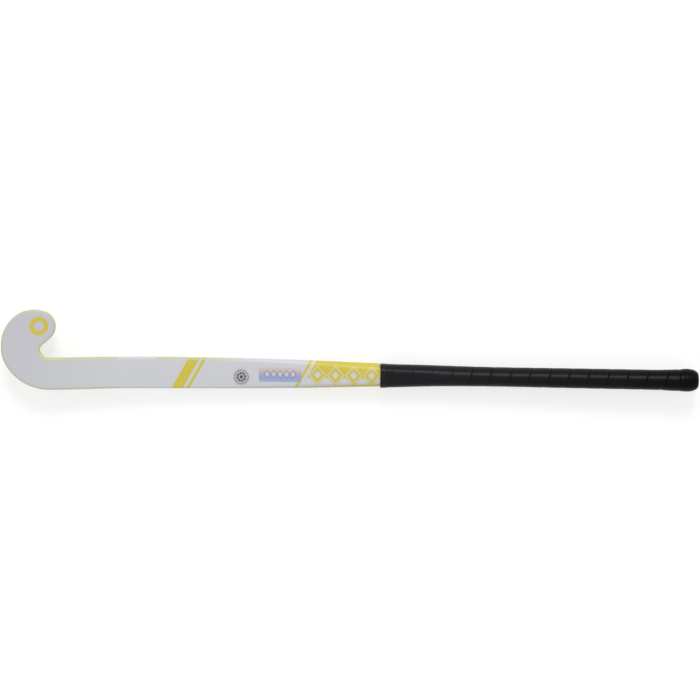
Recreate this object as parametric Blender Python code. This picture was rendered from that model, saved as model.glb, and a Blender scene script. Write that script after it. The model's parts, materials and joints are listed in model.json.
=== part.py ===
"""Indoor hockey stick as an assembly of separate solids, in metres, +Z up.

The stick lies along X with its hook at -X, its toe towards +Y and its flat playing side up.
Shapes are drawn in the stick's own layout: x from the middle of its length, y from the axis
of the shaft and z from the straight line that joins the two ends of the playing side. An
empty then carries every piece, so that the origin ends up below the middle of the stick.
"""

import math
from collections import namedtuple

import bmesh
import bpy
from mathutils import Vector
from mathutils.kdtree import KDTree

MM = 0.001

# Overall sizes
LENGTH = 927.0 * MM
GRIP_COVER = 423.0 * MM  # from the lower end of the grip to the end of the butt cap
CAP_EXPOSED = 25.6 * MM  # length of the butt cap that the grip leaves bare
LAMINATE_TO_END = 8.4 * MM  # from the laminate's open end to the end of the butt cap

# Bow of the playing side, measured from the hook's end
BOW_DEPTH = 19.0 * MM
BOW_START = 95.0 * MM
BOW_STOP = 430.0 * MM

# Walls, fits and small radii
CLEARANCE = 0.3 * MM  # between any two neighbours
LAMINATE_WALL = 2.2 * MM
TUBE_WALL = 1.1 * MM
FACE_EDGE = 2.5 * MM  # width of the rounded edge of the playing side on the hook
LEAST_EDGE = 0.8 * MM  # smallest edge radius that an inset section keeps
CREASE = math.radians(12.0)  # slope at which the shoulder leaves the flat face
BACK_FULLNESS = 2.2  # 2 is an ellipse, more is squarer

# Hook: turn angle from the blade, distance of the centreline from the hook's centre, half width
HOOK_SECTIONS = (
    (0.0, 31.0 * MM, 21.3 * MM),
    (18.0, 30.3 * MM, 21.4 * MM),
    (36.0, 30.4 * MM, 22.2 * MM),
    (63.0, 32.1 * MM, 23.8 * MM),
    (80.0, 34.1 * MM, 25.3 * MM),
    (96.0, 35.1 * MM, 26.1 * MM),
    (120.0, 36.4 * MM, 27.0 * MM),
    (141.0, 36.4 * MM, 26.4 * MM),
    (164.7, 33.9 * MM, 23.2 * MM),
)
HEEL_DROP = 2.2 * MM  # how far the hook and heel sit off the axis of the shaft
HEEL_DROP_RUN = 110.0 * MM  # run of the blade over which they come back to it
HANDLE_DROP = 1.0 * MM  # how far the handle's start sits off the axis, under the grip
HANDLE_DROP_RUN = 75.0 * MM
TOE_RADIUS = 20.8 * MM
TOE_BLEND = math.radians(25.0)  # turn over which the toe narrows from the hook to its radius
HOOK_THICKNESS = 20.0 * MM
HOOK_EDGE_DEPTH = 3.0 * MM
HOOK_WALL_DEPTH = 8.0 * MM

# Share of the run from hook to grip, half width, how much thicker than the hook, half width
# of the flat, depth of the edge's shoulder, depth where the side wall ends. The run starts
# with the hook's own section.
SHAFT_SECTIONS = (
    (0.21, 20.9 * MM, 0.5 * MM, 18.4 * MM, HOOK_EDGE_DEPTH, HOOK_WALL_DEPTH),
    (0.46, 20.5 * MM, 1.5 * MM, 18.0 * MM, 3.2 * MM, 8.5 * MM),
    (0.70, 19.2 * MM, 3.0 * MM, 13.7 * MM, 4.5 * MM, 9.5 * MM),
    (0.855, 17.5 * MM, 4.5 * MM, 9.9 * MM, 7.5 * MM, 11.0 * MM),
    (0.945, 16.1 * MM, 5.4 * MM, 7.6 * MM, 9.5 * MM, 12.0 * MM),
    (1.00, 15.6 * MM, 6.0 * MM, 6.9 * MM, 10.5 * MM, 12.6 * MM),
)
# The same below the grip, over the run from its lower end to the laminate's open end
HANDLE_SECTIONS = (
    (0.000, 13.9 * MM, 5.4 * MM, 6.3 * MM, 10.6 * MM, 12.4 * MM),
    (0.115, 12.7 * MM, 5.8 * MM, 4.0 * MM, 11.6 * MM, 12.9 * MM),
    (0.240, 11.6 * MM, 6.2 * MM, 1.5 * MM, 12.6 * MM, 13.2 * MM),
    (0.390, 11.0 * MM, 6.6 * MM, 1.5 * MM, 12.9 * MM, 13.5 * MM),
    (0.600, 11.2 * MM, 7.0 * MM, 1.5 * MM, 13.1 * MM, 13.7 * MM),
    (1.000, 11.5 * MM, 7.4 * MM, 1.5 * MM, 13.3 * MM, 13.9 * MM),
)

GRIP_REBATE_RUN = 1.2 * MM  # run over which the laminate steps down to make room for the grip

# Inside pieces
CORE_REACH = 34.0 * MM  # from the hook's centre to the end of the head core, along the blade
WEB_GAP = 0.3 * MM  # between the flat walls of the two tubes
HANDLE_FOAM_LENGTH = 210.0 * MM
PLUG_LENGTH = 24.0 * MM
PLUG_FLANGE = 1.4 * MM

# Butt cap
SKIRT_LENGTH = 12.0 * MM
SKIRT_LIP = 0.4 * MM  # thickness of the skirt at its mouth
SKIRT_ROOT = 0.7 * MM  # and where it leaves the grip
CAP_SWELL = 0.3 * MM  # how far the cap's widest ring stands out from the end of the grip
CAP_SWELL_PLACE = 8.0 * MM  # from the grip's end to the widest ring
CAP_END_RADIUS = 6.0 * MM  # half width of the flat end
CAP_FULLNESS = 2.3
CAP_PLAIN_END = 4.5 * MM  # least length without grooves at the end
CAP_GROOVE_FIRST = 4.0 * MM  # from the grip's end to the first groove
CAP_GROOVE_PITCH = 4.1 * MM
CAP_GROOVE_WIDTH = 1.3 * MM
CAP_GROOVE_DEPTH = 0.45 * MM
GROOVE_SHAPE = ((-0.5, 0.0), (-0.25, 1.0), (0.25, 1.0), (0.5, 0.0))  # shares of width and depth

# Grip tape and its band
TAPE_THICKNESS = 1.5 * MM
TAPE_PITCH = 25.94 * MM
TAPE_GAP = 0.5 * MM  # between turns, along the handle
TAPE_EDGE = 0.8 * MM  # width of the rounded edge
TAPE_EDGE_DROP = 0.45 * MM
TAPE_CROWN = 0.12 * MM  # how much higher the middle is than the edges
TAPE_LEAST_WIDTH = 3.0 * MM  # width at which the tapered ends are cut
FIRST_SEAM = 16.4 * MM  # from the grip's lower end to its first seam on the face
SEAT_RUN = 12.0 * MM  # run over which the tape climbs onto the cap's skirt
BAND_WIDTH = 8.0 * MM
BAND_THICKNESS = 0.35 * MM

# Stickers on the face: distance below the grip, height from the shaft's axis
ROUND_STICKER_RADIUS = 10.7 * MM
ROUND_STICKER_PLACE = (184.8 * MM, -4.0 * MM)
FOIL_SIZE = (56.0 * MM, 17.1 * MM)
FOIL_PLACE = (133.2 * MM, -0.7 * MM)
FOIL_CORNER = 0.8 * MM
STICKER_THICKNESS = 0.15 * MM
STICKER_STEP = 10.0 * MM  # longest stretch of a sticker that stays straight along the bow

# How finely the lofts are drawn
HOOK_STEPS = 18
TOE_STEPS = 7
SHAFT_STEPS = 16
HANDLE_STEPS = 12
SHOULDER_STEPS = 4
BACK_STEPS = 6
CAP_DOME_STEPS = 5
GAP_SAMPLES = 8  # points between two sections of the tape where its gap to itself is measured

Section = namedtuple("Section", "half_width thickness flat edge_depth wall_depth")
Station = namedtuple("Station", "x y toe_way heel_way section")

HOOK_END = -LENGTH / 2
BUTT_END = LENGTH / 2
GRIP_START = BUTT_END - GRIP_COVER
GRIP_END = BUTT_END - CAP_EXPOSED
LAMINATE_END = BUTT_END - LAMINATE_TO_END
PLUG_START = LAMINATE_END - PLUG_LENGTH
SKIRT_START = GRIP_END - SKIRT_LENGTH


def clean_scene():
    for obj in list(bpy.data.objects):
        bpy.data.objects.remove(obj, do_unlink=True)


def slope_through(places, values, i, level_start):
    """Slope of a smooth curve at point i, which never swings past its neighbours."""
    last = len(places) - 1
    steps = [b - a for a, b in zip(places, places[1:])]
    rises = [(b - a) / s for a, b, s in zip(values, values[1:], steps)]
    if i == 0:
        return 0.0 if level_start else rises[0]
    if i == last:
        return rises[-1]
    before, after = rises[i - 1], rises[i]
    if before * after <= 0:
        return 0.0
    w1 = 2 * steps[i] + steps[i - 1]
    w2 = steps[i] + 2 * steps[i - 1]
    return (w1 + w2) / (w1 / before + w2 / after)


def through(rows, place, level_start=False):
    """The columns of rows at a place between them, on smooth curves."""
    places = [row[0] for row in rows]
    place = min(max(place, places[0]), places[-1])
    i = 0
    while i < len(rows) - 2 and place > places[i + 1]:
        i += 1
    span = places[i + 1] - places[i]
    t = (place - places[i]) / span
    found = []
    for column in range(1, len(rows[0])):
        values = [row[column] for row in rows]
        m0 = slope_through(places, values, i, level_start) * span
        m1 = slope_through(places, values, i + 1, level_start) * span
        a, b = values[i], values[i + 1]
        found.append(
            a * (2 * t**3 - 3 * t**2 + 1)
            + m0 * (t**3 - 2 * t**2 + t)
            + b * (3 * t**2 - 2 * t**3)
            + m1 * (t**3 - t**2)
        )
    return found


def bow_slopes():
    """Slopes of the two straight runs that the bow joins, with both ends on one line."""
    middle = (BOW_START + BOW_STOP) / 2
    ratio = middle / (LENGTH - middle)
    deepest = BOW_START + (BOW_STOP - BOW_START) / (1 + ratio)
    bent = (1 + ratio) * (deepest - BOW_START) ** 2 / (2 * (BOW_STOP - BOW_START))
    head = -BOW_DEPTH / (deepest - bent)
    return head, -ratio * head


HEAD_SLOPE, HANDLE_SLOPE = bow_slopes()


def bow(x):
    """Height of the playing side at x: two straight runs joined by a steady bend."""
    along = x - HOOK_END
    turn = HANDLE_SLOPE - HEAD_SLOPE
    bent = min(max(along - BOW_START, 0.0), BOW_STOP - BOW_START)
    height = HEAD_SLOPE * along + turn * bent**2 / (2 * (BOW_STOP - BOW_START))
    return height + turn * max(along - BOW_STOP, 0.0)


def hook_centre():
    """Centre of the hook, so that its outermost point lies at the hook's end."""
    widest = 0.0
    for angle in range(round(HOOK_SECTIONS[-1][0])):
        radius, half = through(HOOK_SECTIONS, angle, level_start=True)
        widest = max(widest, (radius + half) * math.sin(math.radians(angle)))
    return HOOK_END + widest, HOOK_SECTIONS[0][1] - HEEL_DROP


HOOK_X, HOOK_Y = hook_centre()


def half_profile(section, inset):
    """One half of a section, from the flat's edge to the middle of the back.

    Each point is (distance from the middle, height). A positive inset shrinks the section
    by that much all round, and a negative one makes it larger."""
    half = section.half_width - inset
    bottom = inset - section.thickness
    flat = min(section.flat, half - LEAST_EDGE)
    edge = -max(section.edge_depth, inset + LEAST_EDGE)
    edge = max(edge, bottom + 2 * LEAST_EDGE)
    wall = max(-section.wall_depth, bottom + LEAST_EDGE)
    wall = min(wall, edge - LEAST_EDGE / 4)
    points = []
    for i in range(SHOULDER_STEPS + 1):
        turn = CREASE + (math.pi / 2 - CREASE) * i / SHOULDER_STEPS
        out = (math.sin(turn) - math.sin(CREASE)) / (1 - math.sin(CREASE))
        down = 1 - math.cos(turn) / math.cos(CREASE)
        points.append((flat + (half - flat) * out, -inset + (edge + inset) * down))
    power = 2 / BACK_FULLNESS
    for i in range(BACK_STEPS):
        turn = math.pi / 2 * i / BACK_STEPS
        out = math.cos(turn) ** power
        down = math.sin(turn) ** power
        points.append((half * out, wall + (bottom - wall) * down))
    points.append((0.0, bottom))
    return points


def hook_section(half):
    return Section(half, HOOK_THICKNESS, half - FACE_EDGE, HOOK_EDGE_DEPTH, HOOK_WALL_DEPTH)


def full_rows(rows):
    """The rows of a table with each section's thickness in place of what it adds to the hook's."""
    return [(share, half, HOOK_THICKNESS + more, *rest) for share, half, more, *rest in rows]


SHAFT_ROWS = [(0.0, *hook_section(HOOK_SECTIONS[0][2])), *full_rows(SHAFT_SECTIONS)]
HANDLE_ROWS = full_rows(HANDLE_SECTIONS)


def shaft_section(x):
    """Section of the straight part of the stick at x, with the step down where the grip starts."""
    shaft_end = GRIP_START - GRIP_REBATE_RUN
    if x <= shaft_end:
        share = (x - HOOK_X) / (shaft_end - HOOK_X)
        return Section(*through(SHAFT_ROWS, share, level_start=True))
    if x >= GRIP_START:
        share = (x - GRIP_START) / (LAMINATE_END - GRIP_START)
        return Section(*through(HANDLE_ROWS, share))
    share = (x - shaft_end) / GRIP_REBATE_RUN
    step = zip(SHAFT_ROWS[-1][1:], HANDLE_ROWS[0][1:])
    return Section(*(before + (after - before) * share for before, after in step))


def easing(drop, run, along):
    """A drop that eases away smoothly over a run."""
    share = min(max(along / run, 0.0), 1.0)
    return drop * (1 - share**2 * (3 - 2 * share))


def axis_drop(x):
    """How far the middle of a section lies below the axis of the shaft at x."""
    drop = easing(HEEL_DROP, HEEL_DROP_RUN, x - HOOK_X)
    step = (x - GRIP_START) / GRIP_REBATE_RUN + 1
    return drop + min(max(step, 0.0), 1.0) * easing(HANDLE_DROP, HANDLE_DROP_RUN, x - GRIP_START)


def shaft_station(x):
    return Station(x, -axis_drop(x), (0.0, 1.0), (0.0, -1.0), shaft_section(x))


def hook_stations():
    """Stations from the tip of the toe back to the start of the blade.

    Round the toe the two halves of a section turn towards each other about one centre, like
    the covers of a book, until they meet at the tip."""
    last_angle, reach, last_half = HOOK_SECTIONS[-1]
    turn = math.radians(last_angle)
    out = (-math.sin(turn), -math.cos(turn))
    ahead = (-math.cos(turn), math.sin(turn))
    x = HOOK_X + reach * out[0]
    y = HOOK_Y + reach * out[1]
    stations = []
    for i in range(TOE_STEPS, 0, -1):
        fold = math.pi / 2 * i / TOE_STEPS
        left = max(1 - fold / TOE_BLEND, 0.0)
        half = TOE_RADIUS + (last_half - TOE_RADIUS) * left**2
        c, s = math.cos(fold), math.sin(fold)
        inner = (-c * out[0] + s * ahead[0], -c * out[1] + s * ahead[1])
        outer = (c * out[0] + s * ahead[0], c * out[1] + s * ahead[1])
        stations.append(Station(x, y, inner, outer, hook_section(half)))
    for i in range(HOOK_STEPS, 0, -1):
        angle = last_angle * i / HOOK_STEPS
        reach, half = through(HOOK_SECTIONS, angle, level_start=True)
        out = (-math.sin(math.radians(angle)), -math.cos(math.radians(angle)))
        inner = (-out[0], -out[1])
        x = HOOK_X + reach * out[0]
        y = HOOK_Y + reach * out[1]
        stations.append(Station(x, y, inner, out, hook_section(half)))
    return stations


def shaft_grid():
    """Places of the rings along the straight part, shared by every piece lofted there."""
    shaft = GRIP_START - GRIP_REBATE_RUN - HOOK_X
    handle = LAMINATE_END - GRIP_START
    grid = [HOOK_X + shaft * i / SHAFT_STEPS for i in range(SHAFT_STEPS + 1)]
    grid += [GRIP_START + handle * i / HANDLE_STEPS for i in range(HANDLE_STEPS + 1)]
    return grid


def grid_between(start, stop):
    inside = [x for x in shaft_grid() if start + CLEARANCE < x < stop - CLEARANCE]
    return [start, *inside, stop]


def lifted(x, y, z):
    return Vector((x, y, z + bow(x)))


def full_ring(station, inset):
    """Closed ring of points round a section, from the flat's toe side edge over the back."""
    half = half_profile(station.section, inset)
    points = []
    for n, z in half:
        points.append(lifted(station.x + n * station.toe_way[0], station.y + n * station.toe_way[1], z))
    for n, z in reversed(half[:-1]):
        points.append(lifted(station.x + n * station.heel_way[0], station.y + n * station.heel_way[1], z))
    return points


def half_ring(x, inset, web, side):
    """Closed ring round the toe side (side 1) or heel side (side -1) half of the shaft."""
    half = half_profile(shaft_section(x), inset)
    top, bottom = half[0][1], half[-1][1]
    outline = [(web, top), *half[:-1], (web, bottom)]
    return [lifted(x, side * max(n, web) - axis_drop(x), z) for n, z in outline]


def bmesh_object(name, bm, collection):
    bmesh.ops.remove_doubles(bm, verts=bm.verts, dist=0.000001)
    bmesh.ops.dissolve_degenerate(bm, edges=bm.edges, dist=0.000001)
    bmesh.ops.recalc_face_normals(bm, faces=bm.faces)
    mesh = bpy.data.meshes.new(name)
    bm.to_mesh(mesh)
    bm.free()
    obj = bpy.data.objects.new(name, mesh)
    collection.objects.link(obj)
    return obj


def loft(name, rings, collection, cap_start=True, cap_end=True, cycle=False):
    """Skin over rings that all have the same number of points. A cycle joins last to first."""
    bm = bmesh.new()
    rows = [[bm.verts.new(point) for point in ring] for ring in rings]
    pairs = list(zip(rows, rows[1:]))
    if cycle:
        pairs.append((rows[-1], rows[0]))
    count = len(rows[0])
    for a, b in pairs:
        for i in range(count):
            j = (i + 1) % count
            bm.faces.new((a[i], a[j], b[j], b[i]))
    if cap_start and not cycle:
        bm.faces.new(rows[0])
    if cap_end and not cycle:
        bm.faces.new(rows[-1])
    return bmesh_object(name, bm, collection)


def finish_material(name, color, roughness, metallic=0.0):
    material = bpy.data.materials.new(name)
    material.use_nodes = True
    shader = material.node_tree.nodes["Principled BSDF"]
    shader.inputs["Base Color"].default_value = (*color, 1.0)
    shader.inputs["Roughness"].default_value = roughness
    shader.inputs["Metallic"].default_value = metallic
    return material


def dress(obj, material, smooth_angle=35.0):
    obj.data.materials.append(material)
    obj.data.shade_smooth()
    obj.data.set_sharp_from_angle(angle=math.radians(smooth_angle))
    return obj


def cut(obj, cutter):
    cutter.hide_render = True
    cutter.display_type = "WIRE"
    boolean = obj.modifiers.new("hollow", "BOOLEAN")
    boolean.operation = "DIFFERENCE"
    boolean.solver = "EXACT"
    boolean.object = cutter


def make_laminate_shell(parts, cutters):
    """The moulded skin, hollow from the toe to its open end at the butt."""
    shaft = [shaft_station(x) for x in shaft_grid()]
    stations = hook_stations() + shaft
    shell = loft("laminate_shell", [full_ring(s, 0.0) for s in stations], parts, cap_start=False)
    beyond = shaft_station(LAMINATE_END + PLUG_LENGTH)
    hollow = [full_ring(s, LAMINATE_WALL) for s in [*stations, beyond]]
    cut(shell, loft("shell_hollow", hollow, cutters, cap_start=False))
    return dress(shell, finish_material("white_paint", (0.62, 0.63, 0.65), 0.42))


def make_head_core(parts):
    """Foam that fills the hook and the start of the blade."""
    inset = LAMINATE_WALL + CLEARANCE
    stop = HOOK_X + CORE_REACH
    stations = hook_stations() + [shaft_station(x) for x in grid_between(HOOK_X, stop)]
    core = loft("head_core", [full_ring(s, inset) for s in stations], parts, cap_start=False)
    return dress(core, finish_material("core_foam", (0.62, 0.50, 0.28), 0.85))


def make_inner_tube(name, side, parts, cutters):
    """One of the two laminate tubes whose flat walls stand back to back as the web."""
    start = HOOK_X + CORE_REACH + CLEARANCE
    stop = PLUG_START - CLEARANCE
    outer = LAMINATE_WALL + CLEARANCE
    web = WEB_GAP / 2
    places = grid_between(start, stop)
    tube = loft(name, [half_ring(x, outer, web, side) for x in places], parts)
    bored = [start - TUBE_WALL, *places[1:-1], stop + TUBE_WALL]
    bore = [half_ring(x, outer + TUBE_WALL, web + TUBE_WALL, side) for x in bored]
    cut(tube, loft(name + "_bore", bore, cutters))
    return dress(tube, finish_material(name + "_resin", (0.05, 0.05, 0.055), 0.5))


def make_handle_foam(name, side, parts):
    """Foam rod in the upper end of one tube."""
    inset = LAMINATE_WALL + CLEARANCE + TUBE_WALL + CLEARANCE
    web = WEB_GAP / 2 + TUBE_WALL + CLEARANCE
    stop = PLUG_START - CLEARANCE
    places = grid_between(stop - HANDLE_FOAM_LENGTH, stop)
    foam = loft(name, [half_ring(x, inset, web, side) for x in places], parts)
    return dress(foam, finish_material(name + "_foam", (0.75, 0.70, 0.55), 0.9))


def make_end_plug(parts):
    """Plug that closes the handle, with a flange that rests on the laminate's end."""
    inside = LAMINATE_WALL + CLEARANCE
    seat = LAMINATE_END + CLEARANCE
    rings = [full_ring(shaft_station(x), inside) for x in grid_between(PLUG_START, seat)]
    rings.append(full_ring(shaft_station(seat), 0.0))
    rings.append(full_ring(shaft_station(seat + PLUG_FLANGE), 0.0))
    plug = loft("end_plug", rings, parts)
    return dress(plug, finish_material("plug_nylon", (0.12, 0.12, 0.12), 0.45))


def seat_rise(x):
    """Height of the grip's underside above the laminate, which climbs onto the cap's skirt."""
    on_skirt = CLEARANCE + SKIRT_LIP
    on_skirt += (SKIRT_ROOT - SKIRT_LIP) * max(x - SKIRT_START, 0.0) / SKIRT_LENGTH
    climb = min(max((x - SKIRT_START + SEAT_RUN) / (SEAT_RUN - CLEARANCE), 0.0), 1.0)
    return CLEARANCE + on_skirt * climb


def cap_rise(x):
    """How far the bare part of the cap stands out from the laminate, without its grooves.

    It starts flush with the grip, swells a little and closes in a dome with a flat end."""
    shoulder = seat_rise(GRIP_END) + TAPE_THICKNESS
    widest = GRIP_END + CAP_SWELL_PLACE
    if x <= widest:
        share = (x - GRIP_END) / CAP_SWELL_PLACE
        return shoulder + CAP_SWELL * math.sin(share * math.pi / 2)
    half = shaft_section(LAMINATE_END).half_width
    share = min((x - widest) / (BUTT_END - widest), 1.0)
    full = half + shoulder + CAP_SWELL - CAP_END_RADIUS
    return full * (1 - share**CAP_FULLNESS) ** (1 / CAP_FULLNESS) + CAP_END_RADIUS - half


def cap_outline():
    """The cap's outside as (x, rise) pairs, from the mouth of its skirt to its flat end."""
    outline = [
        (SKIRT_START, CLEARANCE + SKIRT_LIP),
        (GRIP_END, CLEARANCE + SKIRT_ROOT),
        (GRIP_END, cap_rise(GRIP_END)),
    ]
    ringed = CAP_EXPOSED - CAP_GROOVE_FIRST - CAP_PLAIN_END
    for i in range(int(ringed / CAP_GROOVE_PITCH) + 1):
        middle = GRIP_END + CAP_GROOVE_FIRST + i * CAP_GROOVE_PITCH
        for offset, depth in GROOVE_SHAPE:
            x = middle + offset * CAP_GROOVE_WIDTH
            outline.append((x, cap_rise(x) - depth * CAP_GROOVE_DEPTH))
    last = outline[-1][0]
    for i in range(1, CAP_DOME_STEPS + 1):
        x = last + (BUTT_END - last) * math.sin(i / CAP_DOME_STEPS * math.pi / 2)
        outline.append((x, cap_rise(x)))
    return outline


def make_butt_cap(parts, cutters):
    """Rubber cap: a thin skirt under the grip, then a swollen end with moulded grooves."""
    rings = [full_ring(shaft_station(x), -rise) for x, rise in cap_outline()]
    cap = loft("butt_cap", rings, parts)
    floor = LAMINATE_END + CLEARANCE + PLUG_FLANGE + CLEARANCE
    places = grid_between(SKIRT_START - SKIRT_LIP, floor)
    hollow = [full_ring(shaft_station(x), -CLEARANCE) for x in places]
    cut(cap, loft("cap_hollow", hollow, cutters))
    return dress(cap, finish_material("cap_rubber", (0.012, 0.012, 0.013), 0.35))


def tape_section(width):
    """Cross section of the tape as (place across it, height), with rounded upper edges."""
    half = width / 2
    edge = min(TAPE_EDGE, half / 2)
    top = TAPE_THICKNESS - TAPE_CROWN
    return (
        (-half, 0.0),
        (half, 0.0),
        (half, TAPE_THICKNESS - TAPE_EDGE_DROP),
        (half - edge, top),
        (0.0, TAPE_THICKNESS),
        (edge - half, top),
        (-half, TAPE_THICKNESS - TAPE_EDGE_DROP),
    )


def ring_shares():
    """Share of a turn at which each point of a ring lies, from distances round the handle."""
    ring = full_ring(shaft_station((GRIP_START + GRIP_END) / 2), 0.0)
    steps = [(b - a).length for a, b in zip(ring, ring[1:] + ring[:1])]
    shares = [0.0]
    for step in steps[:-1]:
        shares.append(shares[-1] + step / sum(steps))
    return shares


def tape_places():
    """(point of the ring, left edge, right edge) along the winding."""
    shares = ring_shares()
    start, stop = GRIP_START + CLEARANCE, GRIP_END - CLEARANCE
    half = (TAPE_PITCH - TAPE_GAP) / 2
    turns = int((stop - start) / TAPE_PITCH) + 3
    places = []
    for turn in range(-2, turns):
        for j, share in enumerate(shares):
            middle = GRIP_START + FIRST_SEAM + TAPE_PITCH * (turn + share - 0.5)
            left = max(middle - half, start)
            right = min(middle + half, stop)
            if right - left > TAPE_LEAST_WIDTH:
                places.append((j, left, right))
    return places


def tape_point(j, x, height):
    return full_ring(shaft_station(x), -seat_rise(x) - height)[j]


def least_gap(sections, turn_points):
    """Smallest distance between the tape's right edge and the left edge of later turns."""
    left_edge = [ring[0] for ring in sections]
    right_edge = [ring[1] for ring in sections]
    tree = KDTree((len(left_edge) - 1) * GAP_SAMPLES)
    for i, (a, b) in enumerate(zip(left_edge, left_edge[1:])):
        for k in range(GAP_SAMPLES):
            tree.insert(a.lerp(b, k / GAP_SAMPLES), i)
    tree.balance()
    least = 1.0
    for i, point in enumerate(right_edge):
        for _, other, distance in tree.find_range(point, 2 * TAPE_GAP):
            if abs(other - i) > turn_points // 2:
                least = min(least, distance)
    return least


def make_grip_tape(parts):
    """One strip of tape wound up the handle, its ends cut square to the handle."""
    sections = []
    for j, left, right in tape_places():
        middle = (left + right) / 2
        across = tape_section(right - left)
        sections.append([tape_point(j, middle + a, height) for a, height in across])
    turn_points = len(ring_shares())
    print(f"grip_tape: {len(sections) / turn_points:.1f} turns of {turn_points} points")
    print(f"grip_tape: least gap to itself {least_gap(sections, turn_points) / MM:.2f} mm")
    tape = loft("grip_tape", sections, parts)
    return dress(tape, finish_material("grip_tape_polymer", (0.014, 0.015, 0.016), 0.55), 50.0)


def make_finishing_band(parts):
    """Elastic band over the lower end of the grip."""
    inner = CLEARANCE + TAPE_THICKNESS + CLEARANCE
    start = GRIP_START + CLEARANCE
    stop = start + BAND_WIDTH
    middle = (start + stop) / 2
    corners = [(start, inner), (start, inner + BAND_THICKNESS), (middle, inner + BAND_THICKNESS)]
    corners += [(stop, inner + BAND_THICKNESS), (stop, inner), (middle, inner)]
    rings = [full_ring(shaft_station(x), -rise) for x, rise in corners]
    band = loft("finishing_band", rings, parts, cycle=True)
    return dress(band, finish_material("band_vinyl", (0.010, 0.010, 0.011), 0.4))


def sticker_on_face(name, bm, length, place, parts):
    """Lays a flat sticker on the playing side, where it follows the bow."""
    x = GRIP_START - place[0]
    cuts = math.ceil(length / STICKER_STEP)
    for i in range(1, cuts):
        geom = [*bm.verts, *bm.edges, *bm.faces]
        across = Vector((length * (i / cuts - 0.5), 0.0, 0.0))
        bmesh.ops.bisect_plane(bm, geom=geom, plane_co=across, plane_no=(1.0, 0.0, 0.0))
    lift = CLEARANCE + STICKER_THICKNESS / 2
    for vert in bm.verts:
        vert.co.z += bow(x + vert.co.x) - bow(x)
    sticker = bmesh_object(name, bm, parts)
    sticker.location = (x, place[1], bow(x) + lift)
    return sticker


def make_round_sticker(parts):
    bm = bmesh.new()
    bmesh.ops.create_cone(
        bm,
        cap_ends=True,
        segments=40,
        radius1=ROUND_STICKER_RADIUS,
        radius2=ROUND_STICKER_RADIUS,
        depth=STICKER_THICKNESS,
    )
    width = 2 * ROUND_STICKER_RADIUS
    sticker = sticker_on_face("round_sticker", bm, width, ROUND_STICKER_PLACE, parts)
    return dress(sticker, finish_material("sticker_paper", (0.45, 0.46, 0.46), 0.5))


def make_foil_sticker(parts):
    bm = bmesh.new()
    bmesh.ops.create_cube(bm, size=1.0)
    bmesh.ops.scale(bm, vec=(*FOIL_SIZE, STICKER_THICKNESS), verts=bm.verts)
    upright = [e for e in bm.edges if abs(e.verts[0].co.z - e.verts[1].co.z) > STICKER_THICKNESS / 2]
    bmesh.ops.bevel(bm, geom=upright, offset=FOIL_CORNER, segments=3, profile=0.5, affect="EDGES")
    sticker = sticker_on_face("foil_sticker", bm, FOIL_SIZE[0], FOIL_PLACE, parts)
    return dress(sticker, finish_material("sticker_foil", (0.40, 0.48, 0.70), 0.25, 0.6))


def carry(pieces, collection, cutters):
    """Parents the pieces to an empty that puts the origin under the middle of the stick."""
    bpy.context.view_layer.update()
    graph = bpy.context.evaluated_depsgraph_get()
    corners = []
    for piece in pieces:
        solid = piece.evaluated_get(graph)
        corners += [piece.matrix_world @ Vector(corner) for corner in solid.bound_box]
    low = [min(c[axis] for c in corners) for axis in range(3)]
    high = [max(c[axis] for c in corners) for axis in range(3)]
    frame = bpy.data.objects.new("stick_frame", None)
    collection.objects.link(frame)
    frame.location = (-(low[0] + high[0]) / 2, -(low[1] + high[1]) / 2, -low[2])
    for obj in [*pieces, *cutters.objects]:
        obj.parent = frame
    size = [f"{(h - l) / MM:.1f}" for l, h in zip(low, high)]
    print("stick measures", " x ".join(size), "mm")
    print("shaft axis lies at y", f"{frame.location.y / MM:.2f} mm")
    print("face line lies at z", f"{frame.location.z / MM:.2f} mm")


def main():
    clean_scene()
    parts = bpy.data.collections.new("hockey_stick")
    cutters = bpy.data.collections.new("cutters")
    bpy.context.scene.collection.children.link(parts)
    bpy.context.scene.collection.children.link(cutters)
    pieces = [
        make_laminate_shell(parts, cutters),
        make_head_core(parts),
        make_inner_tube("inner_tube_toe_side", 1, parts, cutters),
        make_inner_tube("inner_tube_heel_side", -1, parts, cutters),
        make_handle_foam("handle_foam_toe_side", 1, parts),
        make_handle_foam("handle_foam_heel_side", -1, parts),
        make_end_plug(parts),
        make_butt_cap(parts, cutters),
        make_grip_tape(parts),
        make_finishing_band(parts),
        make_round_sticker(parts),
        make_foil_sticker(parts),
    ]
    carry(pieces, parts, cutters)


main()
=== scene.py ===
# %% [markdown]
# An indoor hockey stick, seen from its flat playing side. It is a moulded composite stick,
# lacquered white, with a yellow edge round the head, yellow prints, two stickers, and a long
# black wound grip that ends in a ringed rubber cap. The packed CAD model is loaded as a fixed
# frame: it has every real piece at its real size and place. This script gives each piece its
# finish, and puts smoother skins in the place of the four pieces that show their curves.

# %% Load the frame
import json
import math

import bmesh
import bpy
from mathutils import Matrix, Vector

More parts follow.
